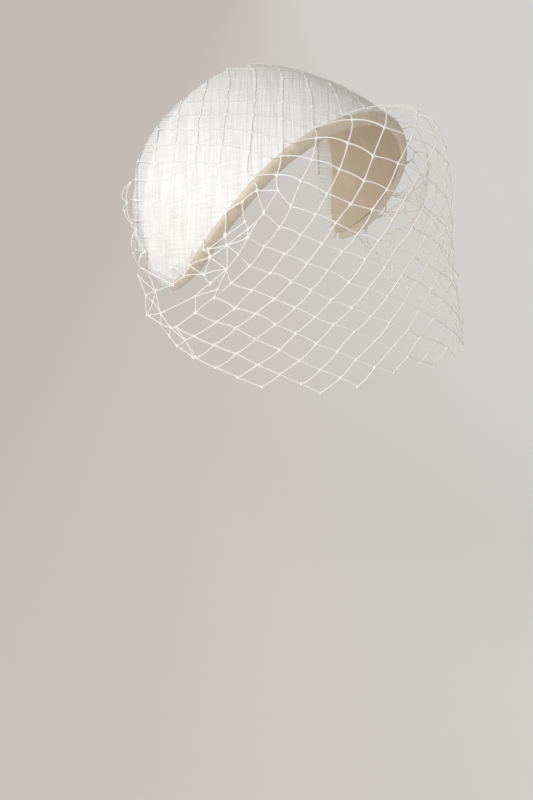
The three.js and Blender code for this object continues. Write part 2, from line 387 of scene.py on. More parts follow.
def plain_weave_group():
    """Plain weave: high where one thread passes over another, on a cloth map in metres."""
    if "Plain Weave" in bpy.data.node_groups:
        return bpy.data.node_groups["Plain Weave"]
    group, start, end = new_group(
        "Plain Weave", [("Cloth Map", "Vector", None), ("Pitch", "Float", 0.0006)], [("Height", "Float")]
    )
    wander = add_node(group, "TexNoise", Scale=260.0, Detail=1.0)
    group.links.new(start.outputs["Cloth Map"], wander.inputs["Vector"])
    split = add_node(group, "SeparateXYZ")
    group.links.new(start.outputs["Cloth Map"], split.inputs[0])
    shift = math_node(group, "MULTIPLY", wander.outputs["Fac"], 2.4)
    waves = []
    for axis in (0, 1):
        turns = math_node(group, "DIVIDE", split.outputs[axis], start.outputs["Pitch"])
        angle = math_node(group, "MULTIPLY", turns, math.pi)
        waves.append(math_node(group, "SINE", math_node(group, "ADD", angle, shift)))
    crossing = math_node(group, "MULTIPLY", waves[0], waves[1])
    group.links.new(math_node(group, "MULTIPLY_ADD", crossing, 0.5, 0.5), end.inputs["Height"])
    return group


def slub_group():
    """Thick places in the thread: long thin streaks on a cloth map in metres."""
    if "Thread Slubs" in bpy.data.node_groups:
        return bpy.data.node_groups["Thread Slubs"]
    group, start, end = new_group(
        "Thread Slubs",
        [
            ("Cloth Map", "Vector", None),
            ("Width", "Float", 0.0008),
            ("Length", "Float", 0.02),
            ("Sparse", "Float", 0.55),
        ],
        [("Slub", "Float")],
    )
    size = add_node(group, "CombineXYZ", Z=1.0)
    group.links.new(start.outputs["Width"], size.inputs["X"])
    group.links.new(start.outputs["Length"], size.inputs["Y"])
    scaled = add_node(group, "VectorMath", operation="DIVIDE")
    group.links.new(start.outputs["Cloth Map"], scaled.inputs[0])
    group.links.new(size.outputs[0], scaled.inputs[1])
    streaks = add_node(group, "TexNoise", Scale=1.0, Detail=1.5, Roughness=0.6)
    group.links.new(scaled.outputs[0], streaks.inputs["Vector"])
    sharpen = add_node(group, "MapRange", interpolation_type="SMOOTHSTEP")
    group.links.new(streaks.outputs["Fac"], sharpen.inputs["Value"])
    group.links.new(start.outputs["Sparse"], sharpen.inputs["From Min"])
    group.links.new(math_node(group, "ADD", start.outputs["Sparse"], 0.13), sharpen.inputs["From Max"])
    group.links.new(sharpen.outputs["Result"], end.inputs["Slub"])
    return group


def place_group(tree, group, source, **values):
    """A node group in a material, on a cloth map."""
    made = tree.nodes.new("ShaderNodeGroup")
    made.node_tree = group
    tree.links.new(source, made.inputs["Cloth Map"])
    for name, value in values.items():
        made.inputs[name].default_value = value
    return made


def new_material(name):
    """A material with its tree, its Principled shader and the piece's own cloth map."""
    material = bpy.data.materials.new(name)
    material.use_nodes = True
    tree = material.node_tree
    cloth_map = add_node(tree, "UVMap", uv_map="UVMap")
    return material, tree, tree.nodes["Principled BSDF"], cloth_map.outputs["UV"]


def turned(tree, source, degrees):
    """A cloth map turned on itself."""
    made = add_node(tree, "Mapping", vector_type="POINT")
    made.inputs["Rotation"].default_value = (0, 0, math.radians(degrees))
    tree.links.new(source, made.inputs["Vector"])
    return made.outputs["Vector"]


def mix_colours(tree, factor, first, second):
    """A colour between two colours."""
    made = add_node(tree, "Mix", data_type="RGBA")
    tree.links.new(factor, made.inputs["Factor"])
    made.inputs["A"].default_value = (*first, 1)
    made.inputs["B"].default_value = (*second, 1)
    return made.outputs["Result"]


def shade(colour, share):
    """A colour made darker and a little warmer."""
    return tuple(channel * share ** (1 + 0.12 * i) for i, channel in enumerate(colour))


def ranged(tree, value, low, high):
    """A value from 0 to 1 brought to a range."""
    made = add_node(tree, "MapRange", To_Min=low, To_Max=high)
    tree.links.new(value, made.inputs["Value"])
    return made.outputs["Result"]


def bumped(tree, height, shader, distance, strength):
    """Relief of that height in metres on a shader."""
    made = add_node(tree, "Bump", Strength=strength, Distance=distance)
    tree.links.new(height, made.inputs["Height"])
    tree.links.new(made.outputs["Normal"], shader.inputs["Normal"])


def coloured(tree, shader, tone, first, second):
    """A shader's colour, from one colour to another by a tone."""
    tree.links.new(mix_colours(tree, tone, first, second), shader.inputs["Base Color"])


def roughened(tree, shader, value, low, high):
    """A shader's roughness, from low to high by a value."""
    tree.links.new(ranged(tree, value, low, high), shader.inputs["Roughness"])


def sheen(shader, weight, roughness):
    """The soft sheen of fine fibres on a shader."""
    shader.inputs["Sheen Weight"].default_value = weight
    shader.inputs["Sheen Roughness"].default_value = roughness


def slubs_on(tree, cloth, width, length, sparse):
    """Thick places of that width and length in metres on a cloth map."""
    return place_group(tree, slub_group(), cloth, Width=width, Length=length, Sparse=sparse).outputs["Slub"]


def weave_on(tree, cloth, pitch):
    """The height of a plain weave on a cloth map."""
    return place_group(tree, plain_weave_group(), cloth, Pitch=pitch).outputs["Height"]


def slub_silk(colours, sizes):
    """Ivory slubbed silk: plain weave with thick places in both threads."""
    material, tree, shader, cloth = new_material("ivory_slub_silk")
    across = turned(tree, cloth, 90)
    falling = slubs_on(tree, cloth, 0.0014, 0.04, 0.48)
    crossing = slubs_on(tree, across, 0.0013, 0.018, 0.52)
    broad = slubs_on(tree, cloth, 0.004, 0.07, 0.45)
    nubs = slubs_on(tree, across, 0.0016, 0.0045, 0.64)
    thick = math_node(tree, "MULTIPLY_ADD", crossing, 0.8, falling)
    slubs = math_node(tree, "MULTIPLY_ADD", nubs, 1.2, thick)
    height = math_node(tree, "MULTIPLY_ADD", weave_on(tree, cloth, sizes.weave_pitch), 0.4, slubs)
    bumped(tree, math_node(tree, "MULTIPLY_ADD", broad, 0.9, height), shader, 0.00016, 0.65)
    tone = math_node(tree, "MULTIPLY_ADD", slubs, 0.36, math_node(tree, "MULTIPLY", broad, 0.28))
    coloured(tree, shader, tone, colours.silk, shade(colours.silk, 0.84))
    roughened(tree, shader, slubs, 0.46, 0.62)
    shader.inputs["Specular IOR Level"].default_value = 0.25
    sheen(shader, 0.05, 0.4)
    return material


def painted_shade_band(colours, sizes):
    """Ivory cloth of the back edge: fine ribs across it, with painted shade: coloured greyer than the silk
    for the shade that falls on the back edge.
    """
    material, tree, shader, cloth = new_material("ivory_ribbed_band_painted_shade")
    across = turned(tree, cloth, 90)
    ribs = slubs_on(tree, across, 0.0011, 0.03, 0.42)
    knobs = slubs_on(tree, across, 0.0016, 0.005, 0.6)
    threads = math_node(tree, "ADD", ribs, knobs)
    height = math_node(tree, "MULTIPLY_ADD", weave_on(tree, cloth, sizes.weave_pitch), 0.4, threads)
    bumped(tree, height, shader, 0.00018, 0.8)
    tone = math_node(tree, "MULTIPLY", threads, 0.6)
    # Painted shade: both colours are darker than the silk, for the shade on the back edge; the ribs only
    # vary the tone between them.
    coloured(tree, shader, tone, shade(colours.silk, 0.91), shade(colours.silk, 0.79))
    roughened(tree, shader, threads, 0.5, 0.64)
    sheen(shader, 0.2, 0.4)
    return material


def cream_lining(colours, sizes):
    """Cream satin: fine close threads with a soft sheen."""
    material, tree, shader, cloth = new_material("cream_satin")
    streaks = slubs_on(tree, cloth, 0.0006, 0.03, 0.4)
    clouds = slubs_on(tree, cloth, 0.02, 0.035, 0.35)
    height = math_node(tree, "MULTIPLY_ADD", weave_on(tree, cloth, sizes.weave_pitch * 0.7), 0.6, streaks)
    bumped(tree, height, shader, 0.00007, 0.8)
    tone = math_node(tree, "MULTIPLY_ADD", streaks, 0.3, math_node(tree, "MULTIPLY", clouds, 0.4))
    coloured(tree, shader, tone, colours.lining, shade(colours.lining, 0.84))
    roughened(tree, shader, streaks, 0.36, 0.5)
    sheen(shader, 0.2, 0.35)
    return material


def cream_binding(colours, sizes):
    """Cream cloth cut on the slant and rolled round the edge; its colour is partly the cloth's own cream and
    partly painted shade and warm bounce light from under the front edge.
    """
    material, tree, shader, cloth = new_material("cream_slant_cloth")
    slanted = turned(tree, cloth, 45)
    streaks = slubs_on(tree, slanted, 0.0008, 0.006, 0.5)
    rubs = slubs_on(tree, cloth, 0.016, 0.003, 0.45)
    height = math_node(tree, "MULTIPLY_ADD", weave_on(tree, slanted, sizes.weave_pitch), 0.5, streaks)
    bumped(tree, height, shader, 0.0001, 0.8)
    tone = math_node(tree, "MULTIPLY_ADD", streaks, 0.35, math_node(tree, "MULTIPLY", rubs, 0.25))
    # Partly painted shade: the binding colour is darkened and warmed for the shade and warm bounce light
    # under the edge; streaks and rubs vary the tone at random.
    coloured(tree, shader, tone, colours.binding, shade(colours.binding, 0.83))
    roughened(tree, shader, rubs, 0.45, 0.58)
    sheen(shader, 0.2, 0.4)
    return material


# Length of one turn of the net's thread, in metres
TWIST_LENGTH = 0.0011


def veil_thread(colours, sizes):
    """Ivory twisted thread of the net."""
    material, tree, shader, cloth = new_material("ivory_thread")
    split = add_node(tree, "SeparateXYZ")
    tree.links.new(cloth, split.inputs[0])
    along = math_node(tree, "MULTIPLY", split.outputs[0], 2 * math.pi / TWIST_LENGTH)
    around = math_node(tree, "MULTIPLY", split.outputs[1], 4 / sizes.net_thread)
    twist = math_node(tree, "SINE", math_node(tree, "ADD", along, around))
    bumped(tree, twist, shader, 0.00006, 0.7)
    coordinates = add_node(tree, "TexCoord")
    fluff = add_node(tree, "TexNoise", Scale=90.0, Detail=3.0)
    tree.links.new(coordinates.outputs["Object"], fluff.inputs["Vector"])
    coloured(tree, shader, fluff.outputs["Fac"], colours.net, shade(colours.net, 0.88))
    roughened(tree, shader, fluff.outputs["Fac"], 0.5, 0.7)
    sheen(shader, 0.5, 0.5)
    return material


# Cloth pieces

# Faces across and along each piece
COVER_GRID, LINING_GRID, ROLL_GRID = (72, 250), (56, 200), (24, 300)
# The slant of the silk's threads over the crown, from right front to left back
THREAD_SLANT = math.radians(42.6)
# Height, wavelength and seed of the lining's waves, and its mean distance from the cover beyond the gap
LINING_WAVES, LINING_EASE = ((0.12, 38, 21), (0.08, 14, 22)), 0.2
# Length over which a roll's end is rounded
ROLL_END = 3
# Pitch and height of the roll's slant creases, and the height of its swellings, as shares of its size
CREASE_PITCH, CREASE_HEIGHT, SWELL_HEIGHT = 7.5, 0.006, 0.025
# How far the creases wander, in radians, and the wavelengths of that and of the swellings
CREASE_WANDER, WANDER_LENGTH, SWELL_LENGTH = 1.6, 25, 34
# Seeds of the two rolls' unevenness
FRONT_SEED, BACK_SEED = 31, 41
# Faces that meet at a sharper angle than this are shaded as an edge
EDGE_ANGLE = math.radians(50)


def add_grid(name, across, along):
    """A flat grid of faces, with each vertex's place in it from 0 to 1 both ways."""
    bpy.ops.object.select_all(action="DESELECT")
    bpy.ops.mesh.primitive_grid_add(x_subdivisions=across, y_subdivisions=along, size=1)
    piece = bpy.context.object
    piece.name = name
    piece.data.name = name
    flat = np.empty(len(piece.data.vertices) * 3)
    piece.data.vertices.foreach_get("co", flat)
    shares = flat.reshape(-1, 3)[:, :2] + 0.5
    return piece, shares[:, 0], shares[:, 1]


def crown_grid(name, grid):
    """A grid from tip to tip, with each vertex's lean and y, its point on the crown and the way out."""
    piece, u, v = add_grid(name, *grid)
    lean = crown_leans(2 * v - 1)
    y = crown_y(lean, u)
    return piece, lean, y, crown_surface(lean, y), crown_normal(lean, y)


def shape_grid(piece, points, cloth_map):
    """Puts a grid's vertices at points in millimetres, with a cloth map in metres."""
    if not np.isfinite(points).all():
        raise RuntimeError(f"{piece.name} can't be shaped at these sizes")
    mesh = piece.data
    mesh.vertices.foreach_set("co", (points * MM).ravel())
    corners = np.empty(len(mesh.loops), np.int32)
    mesh.loops.foreach_get("vertex_index", corners)
    mesh.uv_layers.active.name = "UVMap"
    mesh.uv_layers.active.data.foreach_set("uv", cloth_map[corners].ravel())
    mesh.update()


def edit_all(change, **values):
    """Makes one change to the whole of the active mesh."""
    bpy.ops.object.mode_set(mode="EDIT")
    bpy.ops.mesh.select_all(action="SELECT")
    change(**values)
    bpy.ops.object.mode_set(mode="OBJECT")


def face_outward(piece, outward):
    """Turns a sheet's faces so that their normals agree with the outward directions."""
    mesh = piece.data
    normals = np.empty(len(mesh.vertices) * 3)
    mesh.vertices.foreach_get("normal", normals)
    if np.sum(normals.reshape(-1, 3) * outward) < 0:
        edit_all(bpy.ops.mesh.flip_normals)


def thicken(piece, thickness):
    """Gives a sheet its wall, inwards from its outside."""
    bpy.ops.object.modifier_add(type="SOLIDIFY")
    wall = piece.modifiers[-1]
    wall.thickness = thickness
    wall.offset = -1
    bpy.ops.object.modifier_apply(modifier=wall.name)


def cover_map(points):
    """The silk's cloth map, whose threads run slantwise over the crown."""
    x, y, z = points.T
    along = -math.cos(THREAD_SLANT) * x - math.sin(THREAD_SLANT) * y
    across = math.sin(THREAD_SLANT) * x - math.cos(THREAD_SLANT) * y
    return np.stack([across, AXIS_DROP * np.arctan2(along, z + AXIS_DROP)], -1) * MM


def finish_piece(piece, node, material):
    """Gives a piece its material and its place in the frame."""
    if not piece.data.polygons:
        raise RuntimeError(f"{piece.name} has no faces")
    piece.data.materials.clear()
    piece.data.materials.append(material)
    bpy.ops.object.shade_smooth_by_angle(angle=EDGE_ANGLE)
    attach(piece, "root")
    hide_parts(node)


def sheet_area(piece):
    """Half of a thin piece's surface, in square metres: the area of one of its faces."""
    areas = np.empty(len(piece.data.polygons))
    piece.data.polygons.foreach_get("area", areas)
    return float(areas.sum()) / 2


class HALFHAT_OT_cover(bpy.types.Operator):
    """Make the silk cover of the crown"""

    bl_idname = "half_hat.cover"
    bl_label = "Silk Cover"

    def execute(self, context):
        sizes, colours = context.scene.half_hat_sizes, context.scene.half_hat_colours
        piece, lean, y, points, outward = crown_grid("silk_cover", COVER_GRID)
        shape_grid(piece, points + outward * cover_relief(lean, y)[:, None], cover_map(points))
        face_outward(piece, outward)
        thicken(piece, sizes.cover_thickness)
        finish_piece(piece, "cover", slub_silk(colours, sizes))
        sheet_area(piece)
        return {"FINISHED"}


class HALFHAT_OT_lining(bpy.types.Operator):
    """Make the cream lining inside the crown"""

    bl_idname = "half_hat.lining"
    bl_label = "Cream Lining"

    def execute(self, context):
        sizes, colours = context.scene.half_hat_sizes, context.scene.half_hat_colours
        piece, lean, y, points, outward = crown_grid("satin_lining", LINING_GRID)
        depth = sizes.cover_thickness / MM + GAP + LINING_EASE + waves_on(points, LINING_WAVES)
        arc = np.radians(lean) * MEAN_REACH
        shape_grid(piece, points - outward * depth[:, None], np.stack([y, arc], -1) * MM)
        face_outward(piece, outward)
        thicken(piece, sizes.lining_thickness)
        finish_piece(piece, "lining", cream_lining(colours, sizes))
        sheet_area(piece)
        return {"FINISHED"}


def lengths_along(line):
    """Each point's distance along a line of points."""
    return np.concatenate([[0], np.cumsum(np.linalg.norm(np.diff(line, axis=0), axis=1))])


def full_wave(wave):
    """A sine or cosine made fuller, for a section between an ellipse and a box."""
    return np.sign(wave) * np.abs(wave) ** ROLL_FULLNESS


def edge_roll(name, share, table, width, sizes, seed):
    """A roll of cloth along an edge of the crown: share 0 is the back edge, 1 the front edge."""
    piece, u, v = add_grid(name, *ROLL_GRID)
    place = 2 * v - 1
    depth = (sizes.cover_thickness / MM + GAP + sizes.lining_thickness / MM) / 2

    def edge(at):
        lean = crown_leans(np.clip(at, -1, 1))
        y = crown_y(lean, share)
        return lean, y, crown_surface(lean, y) - crown_normal(lean, y) * depth

    lean, y, line = edge(place)
    tangent = unit(edge(place + 0.02)[2] - edge(place - 0.02)[2])
    outward = crown_normal(lean, y)
    aside = unit(np.cross(outward, tangent)) * (-1 if share else 1)
    half_wide, half_thick, tuck, stand, drop = roll_section(table, lean)
    flat, raised = roll_axes(aside, outward, tuck)
    centre = line + aside * stand[:, None] - outward * drop[:, None]
    half_wide = half_wide * width / table[1][:, 1].max()
    dense = np.linspace(-1, 1, 2001)
    lengths = lengths_along(edge(dense)[2])
    along = np.interp(place, dense, lengths)
    from_end = np.minimum(along, lengths[-1] - along)
    rounded = np.sqrt(1 - (1 - np.minimum(from_end / ROLL_END, 1)) ** 2)
    angle = 2 * np.pi * u
    wander = CREASE_WANDER * ripple(centre, WANDER_LENGTH, seed)
    creases = np.sin(2 * np.pi * along / CREASE_PITCH + angle + wander)
    swell = rounded * (1 + CREASE_HEIGHT * creases + SWELL_HEIGHT * ripple(centre, SWELL_LENGTH, seed + 1))
    lap = ROLL_LAP * np.cos(tuck)
    beside = (half_wide + lap / 2) * full_wave(np.cos(angle)) - lap / 2
    above = half_thick * full_wave(np.sin(angle))
    ring = (flat * beside[:, None] + raised * above[:, None]) * swell[:, None]
    girth = (half_wide + half_thick) / 2 * angle
    shape_grid(piece, centre + ring, np.stack([girth, along], -1) * MM)
    face_outward(piece, unit(ring + outward * 1e-6))
    edit_all(bpy.ops.mesh.remove_doubles, threshold=1e-6)
    return piece


class HALFHAT_OT_edge_rolls(bpy.types.Operator):
    """Make the rolls of binding along the front and back edges"""

    bl_idname = "half_hat.edge_rolls"
    bl_label = "Edge Rolls"

    def execute(self, context):
        sizes, colours = context.scene.half_hat_sizes, context.scene.half_hat_colours
        front = edge_roll("front_roll", 1, FRONT_ROLL, sizes.front_roll_width / MM, sizes, FRONT_SEED)
        finish_piece(front, "front_binding", cream_binding(colours, sizes))
        back = edge_roll("back_roll", 0, BACK_ROLL, sizes.back_roll_width / MM, sizes, BACK_SEED)
        finish_piece(back, "back_binding", painted_shade_band(colours, sizes))
        return {"FINISHED"}


# Net veil

# Seed of the net's small unevenness
NET_SEED = 7
# How the strands lie on the wearer's right, seen from that side's front: fall is the slant from
# upright of the strands that come down from the crown, cross that of the others below level.
NET_LIE = np.array(
    (  # lean, row, fall, cross
        (-10, 2.2, 0, -2),
        (-48, 2.2, 0, -2),
        (-90, 2.4, 0, 0),
        (-35, 3.0, 0, 0),
        (1, 3.4, 2, 4),
        (-24, 4.8, 8, 14),
        (-47, 4.8, 14, 17),
        (-38, 6.4, 24, 19),
        (-22, 6.5, 13, 21),
        (-63, 5.5, 40, 20),
        (-13, 7.9, 22, 26),
        (-17, 8.6, 33, 25),
        (-32, 8.2, 40, 20),
        (-44, 8.3, 52, 20),
        (-58, 8.1, 61, 22),
        (-73, 8.1, 66, 28),
        (-42, 9.5, 60, 22),
        (-15, 9.4, 46, 25),
        (-61, 9.5, 66, 28),
        (2, 9.1, 39, 32),
    ),
    float,
)
# The view that these slants are seen in, and how far each of them counts, in leans and rows
LIE_YAW, LIE_TILT = math.radians(48.1), math.radians(12.2)
LIE_RIGHT = np.array([math.cos(LIE_YAW), -math.sin(LIE_YAW), 0])
LIE_AHEAD = np.array(
    [math.sin(LIE_YAW) * math.cos(LIE_TILT), math.cos(LIE_YAW) * math.cos(LIE_TILT), -math.sin(LIE_TILT)]
)
LIE_UP = np.cross(LIE_RIGHT, LIE_AHEAD)
LIE_SPREAD = (22.0, 1.6)
# Degrees of the strands' fields round and down the net, how much more their direction counts than
# their spacing, and how calm they are
FIELD_DEGREES, FIELD_HOLD, FIELD_CALM = (9, 8), 2.0, 3e-4
# Between which places, in u, the wearer's right side of the net gives way and its left side begins
SIDE_BLENDS = {1: (-0.1, 0.45), -1: (0.1, 0.55)}
# Distance between strands as a share of a cell's side, and one knot's place in u and v
CELL_EASE, KNOT_AT = 0.9, (-0.4, 0.28)
# How far the net reaches to each side, in u, and where it starts, in v
NET_REACH, NET_START = 1.05, -1.08
# How the net turns round the back roll: how far the roll's middle lies below the silk, the net's
# distance from the roll and the furthest that it turns
BACK_WRAP = {"depth": 1.95, "clear": 0.5, "most": 2.9}
# How far the net lies below its even surface, at the middle of the crown and on its sides
NET_SINK, SINK_LEANS = (1.4, 1.72), (30.0, 62.0)
# Rows between which the net leaves the silk, and those between which its pleats begin
LEAVE_ROWS, PLEAT_ROWS = (3.6, 4.3), (3.9, 4.6)
# How far the net stands loose over the back roll, and the leans, rows and distances past the roll's
# top between which that begins or ends
NET_SLACK, SLACK_LEANS, SLACK_ROWS, SLACK_PAST = 1.0, (25.0, 75.0), (3.0, 4.6), (-12.0, 4.0)
# Places, in v, between which the net becomes free of the crown
FREE_PLACES = (-0.2, 0.2)
# Knots of the drawn-up net near a tip, as lean, row and lift: along the front edge (e), in the
# bunch below it (b), in the arc under the bunch (o), past the tip (p), in the loops along the back
# edge (l) and in the cluster where the net ends (t). The links name them by letter and number.
GATHER_KNOTS = {
    "e": (
        (53.6, 4.55, 0.3), (58.1, 4.45, 1.3), (62.6, 4.05, 0.3), (73.1, 5.15, 1.0),
        (74.9, 5.05, 1.5), (80.5, 5.65, 0.5),
    ),
    "b": (
        (54.7, 5.65, 2.0), (60.3, 5.6, 3.0), (60.3, 5.8, 3.0), (60.7, 6.1, 3.0),
        (66.3, 5.35, 3.0), (66.7, 5.7, 3.0), (72.3, 5.75, 4.0), (73.1, 6.55, 3.5),
        (69.7, 7.15, 3.0),
    ),
    "o": (
        (49.5, 5.2, 0.0), (62.2, 6.5, 3.5), (65.2, 6.9, 2.5), (68.2, 7.45, 1.5),
        (76.0, 7.4, 1.5),
    ),
    "p": (
        (82.8, 6.0, 1.0), (85.4, 6.35, 1.0),
    ),
    "l": (
        (70.4, 0.35, 2.5), (77.2, 0.3, 6.0), (79.8, 0.6, 4.0), (83.5, 0.7, 6.5),
        (86.9, 1.0, 4.0), (87.7, 1.35, 3.0), (92.0, 1.7, 5.5), (95.5, 2.1, 4.0),
        (91.8, 2.4, 1.5), (94.8, 2.4, 2.5), (96.3, 3.0, 3.0),
    ),
    "t": (
        (96.3, 3.55, 3.0), (96.3, 3.25, 7.0), (88.8, 6.8, 3.0), (92.9, 7.3, 4.0),
        (91.8, 7.8, 3.5), (86.2, 8.3, 3.5), (89.2, 8.75, 4.0), (80.2, 8.95, 1.5),
        (83.5, 9.0, 2.0), (81.3, 9.5, 0.0), (78.7, 9.75, 0.0), (75.3, 9.4, 1.0),
        (73.8, 9.95, 0.0),
    ),
}
GATHER_LINKS = """
    e1-e2 e2-e3 e1-o1 o1-b1 e1-b1 e2-b2 b2-b3 b2-b5 b3-b6 b3-b1 b3-b4 b4-b6 e3-b5 b5-b6 b5-e4 b6-e4 b6-b7
    b6-o3 b6-o2 b4-o2 o2-o3 b1-b4 b7-e4 b7-e5 b7-e6 b7-o3 b7-b8 b8-o3 b8-e6 b8-b9 b8-p1 b9-o3 b9-o5 o3-o4
    o4-o5 e6-p1 p1-p2 o5-t6 p2-t3 l1-l2 l2-l3 l1-l3 l3-l4 l4-l5 l3-l5 l5-l6 l6-l7 l7-l8 l8-l11 l6-l9
    l9-l10 l10-l11 l11-t1 l11-t2 t2-t4 t1-t2 t1-t3 t3-t4 t4-t5 t3-t5 t5-t6 t5-t7 t4-t7 t7-t6 t3-t6 t6-t8
    t7-t9 t6-t9 t9-t8 t8-t10 t9-t10 t10-t11 t8-t12 t11-t12 t11-t13 t12-t13 l9-t1 l10-t1 t1-p2 l11-p2
    t2-t3
""".split()
# How far a loose strand reaches for a knot of the drawn-up net, below the front edge and on the sides
GATHER_REACH, SIDE_REACH = 17.0, 30.0
# How deep a strand that joins the even net to an edge knot lies in the silk, and the rows where it rises
JOIN_SINK, JOIN_ROWS = 1.5, (4.05, 4.6)
# Knots with a lower lift than this lie on the silk
LYING_LIFT = 2.0
# How far the drawn-up strands and the loops along the back edge bow, and how much thicker the loops are
GATHER_BOW, LOOP_BOW, LOOP_THREAD = 0.35, 1.0, 1.3
# Size of the bunch's knots beside the others
BUNCH_KNOT = 1.35
# On the crown and where the net is free: how far knots stray, how far strands bow off the net, and the
# heights of strands and knots beside their widths
KNOT_STRAY, STRAND_BOW, STRAND_HEIGHT, KNOT_HEIGHT = (0.2, 0.6), (0.02, 0.35), (0.45, 1.0), (0.45, 0.8)
# How far strands sway in the net, the points of each, and how much thicker they are at their knots
STRAND_SWAY, STRAND_POINTS, STRAND_FLARE = 0.3, 7, 0.55
# Length and width of a knot, and the least and most of strands and knots, beside their sizes
KNOT_SHAPE, STRAND_SIZES, KNOT_SIZES = (1.2, 0.85), (0.92, 1.08), (0.88, 1.12)
# How far a drawn-up knot strays in u, in v and in its lift
GATHER_STRAY = (0.004, 0.008, 0.2)
# Where the drawn-up net takes the even net's place: the rows by lean where it begins and ends near the
# front edge, and the leans by row where it begins at the net's end
EDGE_LEANS, EDGE_ROWS = (62, 74), (3.95, 3.55)
BUNCH_LEANS, BUNCH_ROWS = (49.5, 54.7, 60.7, 65.2, 68.2, 76, 86, 97), (3.9, 5.5, 6.1, 6.9, 7.4, 7.4, 7.4, 11)
END_ROWS, END_LEANS = (3, 7.4, 8.3, 8.95, 9.4, 10), (90, 87, 86, 80, 75, 73.5)


def net_row(v):
    """The row of a place from -1 to 1 down the net."""
    return NET_ROWS / 2 * (1 + v)


def net_v(row):
    """A row's place from -1 to 1 down the net."""
    return 2 * row / NET_ROWS - 1


def net_tangents(u, v):
    """How the net's points move with u, round it, and with v, down it."""

    def point(u, v):
        return veil_surface(TIP_LEAN * u, net_row(v))

    step = 1e-3
    return (
        (point(u + step, v) - point(u - step, v)) / (2 * step),
        (point(u, v + step) - point(u, v - step)) / (2 * step),
    )


def strand_slants(lean, row):
    """The slants of both families of strands at places on the wearer's right."""
    away = (np.stack([lean, row], -1)[:, None] - NET_LIE[:, :2]) / LIE_SPREAD
    weight = np.exp(-np.sum(away**2, axis=-1) / 2) + 1e-9
    weight /= weight.sum(axis=1, keepdims=True)
    return weight @ NET_LIE[:, 2], weight @ NET_LIE[:, 3]


def strand_rule(u, v, side, falling):
    """Directions along and across one family of strands, in u and v, and each place's weight."""
    near = side * u
    fall, cross = strand_slants(TIP_LEAN * near, net_row(v))
    angle = np.radians(-90 - fall) if falling else np.radians(-cross)
    along_u, along_v = net_tangents(near, v)
    normal = unit(np.cross(along_u, along_v))
    seen = np.cos(angle)[:, None] * LIE_RIGHT + np.sin(angle)[:, None] * LIE_UP
    facing = normal @ LIE_AHEAD
    steep = np.where(facing < 0, -1, 1) * np.maximum(np.abs(facing), 0.05)
    along = unit(seen - LIE_AHEAD * (dot(seen, normal) / steep)[:, None])
    across = np.cross(normal, along)
    e, f, g = dot(along_u, along_u), dot(along_u, along_v), dot(along_v, along_v)
    size = e * g - f * f

    def in_net(direction):
        p, q = dot(direction, along_u), dot(direction, along_v)
        return side * (g * p - f * q) / size, (e * q - f * p) / size

    return in_net(along), in_net(across), (np.abs(facing) + 0.1) * size**0.25


def strand_field(falling, cell):
    """A smooth field over the net, as Chebyshev terms, whose whole numbers are one family's strands."""
    grid = np.meshgrid(np.linspace(-1, 1, 81), np.linspace(-1, 1, 61), indexing="ij")
    u, v = (axis.ravel() for axis in grid)
    terms, slopes = [], []
    for place, degree in zip((u, v), FIELD_DEGREES):
        terms.append(chebvander(place, degree))
        rates = [chebval(place, chebder(one)) for one in np.eye(degree + 1)]
        slopes.append(np.stack(rates, axis=-1))
    by_u = (slopes[0][:, :, None] * terms[1][:, None]).reshape(len(u), -1)
    by_v = (terms[0][:, :, None] * slopes[1][:, None]).reshape(len(u), -1)
    middle = np.abs(u) < 0.2
    rows, aims, right_across = [], [], None
    for side, blend in SIDE_BLENDS.items():
        along, across, weight = strand_rule(u, v, side, falling if side > 0 else not falling)
        rise = smooth_step(*blend, u)
        weight = weight * np.sqrt(1 - rise if side > 0 else rise)
        if right_across is None:
            right_across = across
        sign = np.sign(np.sum((right_across[0] * across[0] + right_across[1] * across[1])[middle]))
        rows.append((by_u * along[0][:, None] + by_v * along[1][:, None]) * (FIELD_HOLD * weight)[:, None])
        aims.append(0 * weight)
        rows.append((by_u * across[0][:, None] + by_v * across[1][:, None]) * weight[:, None])
        aims.append(sign * weight / (cell * CELL_EASE))
    system = np.concatenate(rows)
    rows.append(np.eye(system.shape[1]) * np.abs(system).max() * FIELD_CALM)
    aims.append(np.zeros(system.shape[1]))
    found = np.linalg.lstsq(np.concatenate(rows), np.concatenate(aims), rcond=None)[0]
    field = found.reshape(FIELD_DEGREES[0] + 1, FIELD_DEGREES[1] + 1)
    field[0, 0] -= chebval2d(*KNOT_AT, field)
    return field


def net_knots(fields):
    """Places in u and v of the knots, by their two whole numbers."""
    across, down = np.linspace(-NET_REACH, NET_REACH, 201), np.linspace(NET_START, 1, 151)
    u, v = np.meshgrid(across, down, indexing="ij")
    values = [chebval2d(u, v, field) for field in fields]
    ranges = [range(math.ceil(value.min()), math.floor(value.max()) + 1) for value in values]
    pairs = np.array([(i, j) for i in ranges[0] for j in ranges[1]])
    nearest = [np.argmin((values[0] - i) ** 2 + (values[1] - j) ** 2) for i, j in pairs]
    place = np.stack([u.ravel()[nearest], v.ravel()[nearest]], axis=-1)
    slopes = [[chebder(field, axis=axis) for axis in (0, 1)] for field in fields]
    for _ in range(8):
        miss = [chebval2d(*place.T, fields[k]) - pairs[:, k] for k in (0, 1)]
        (a, b), (c, d) = [[chebval2d(*place.T, slope) for slope in pair] for pair in slopes]
        size = a * d - b * c
        step = np.stack([(d * miss[0] - b * miss[1]) / size, (a * miss[1] - c * miss[0]) / size], axis=-1)
        place = np.clip(place - np.clip(step, -0.1, 0.1), (-1.1, -1.2), (1.1, 1.1))
    miss = sum(np.abs(chebval2d(*place.T, fields[k]) - pairs[:, k]) for k in (0, 1))
    in_reach = (np.abs(place[:, 0]) <= NET_REACH) & (place[:, 1] >= NET_START) & (place[:, 1] <= 1)
    inside = in_reach & (miss < 1e-3)
    return {tuple(pair): spot for pair, spot in zip(pairs[inside], place[inside])}


